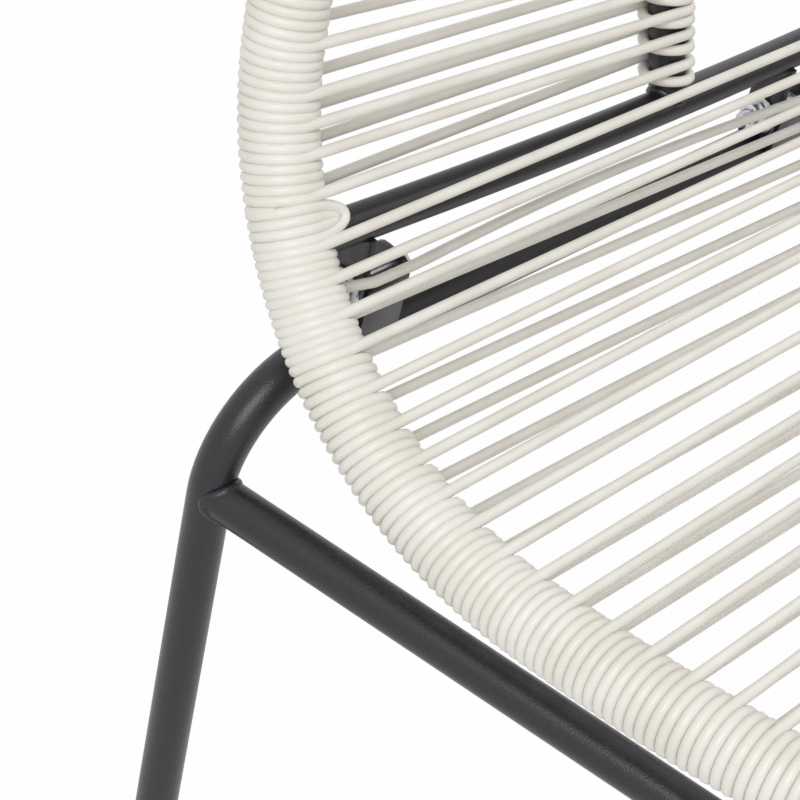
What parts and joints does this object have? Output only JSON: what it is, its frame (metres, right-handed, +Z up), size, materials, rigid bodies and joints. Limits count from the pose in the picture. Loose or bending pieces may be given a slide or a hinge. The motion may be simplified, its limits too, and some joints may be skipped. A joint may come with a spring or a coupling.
{
  "type": "acapulco chair",
  "caption": "Low lounge chair: an egg-shaped steel ring basket wound with taut cord, bolted to a base of two bent tube leg frames and stretchers.",
  "frame": {"origin": "on the floor, under the middle of the chair's outline", "axes": "+Z up, the chair faces -Y, +X to the sitter's left"},
  "size_m": [0.7624, 0.7172, 0.8914],
  "materials": {
    "painted_steel": "fine textured charcoal powder coat",
    "zinc_steel": "bright zinc plate",
    "cord_vinyl": "smooth off-white vinyl cord, soft sheen",
    "foot_plastic": "matt black moulded plastic"
  },
  "bodies": {
    "root": {"seat_ring_tube": "painted_steel", "back_ring_tube": "painted_steel", "cross_tube": "painted_steel", "back_hoop": "painted_steel", "left_basket_tab": "painted_steel", "centre_basket_tab": "painted_steel", "right_basket_tab": "painted_steel", "left_base_bracket": "painted_steel", "centre_base_bracket": "painted_steel", "right_base_bracket": "painted_steel", "left_rear_bolt": "zinc_steel", "left_rear_washer": "zinc_steel", "left_rear_nut": "zinc_steel", "centre_rear_bolt": "zinc_steel", "centre_rear_washer": "zinc_steel", "centre_rear_nut": "zinc_steel", "right_rear_bolt": "zinc_steel", "right_rear_washer": "zinc_steel", "right_rear_nut": "zinc_steel", "left_front_tab": "painted_steel", "right_front_tab": "painted_steel", "left_front_bolt": "zinc_steel", "left_front_washer": "zinc_steel", "left_front_nut": "zinc_steel", "right_front_bolt": "zinc_steel", "right_front_washer": "zinc_steel", "right_front_nut": "zinc_steel", "rear_leg_frame": "painted_steel", "front_leg_frame": "painted_steel", "left_stretcher": "painted_steel", "right_stretcher": "painted_steel", "left_rear_foot_cap": "foot_plastic", "left_front_foot_cap": "foot_plastic", "right_rear_foot_cap": "foot_plastic", "right_front_foot_cap": "foot_plastic", "seat_weave_front": "cord_vinyl", "seat_weave_1": "cord_vinyl", "seat_weave_2": "cord_vinyl", "seat_weave_3": "cord_vinyl", "seat_weave_4": "cord_vinyl", "left_back_weave_1": "cord_vinyl", "left_back_weave_2": "cord_vinyl", "left_back_weave_3": "cord_vinyl", "right_back_weave_1": "cord_vinyl", "right_back_weave_2": "cord_vinyl", "right_back_weave_3": "cord_vinyl"}
  },
  "joints": []
}
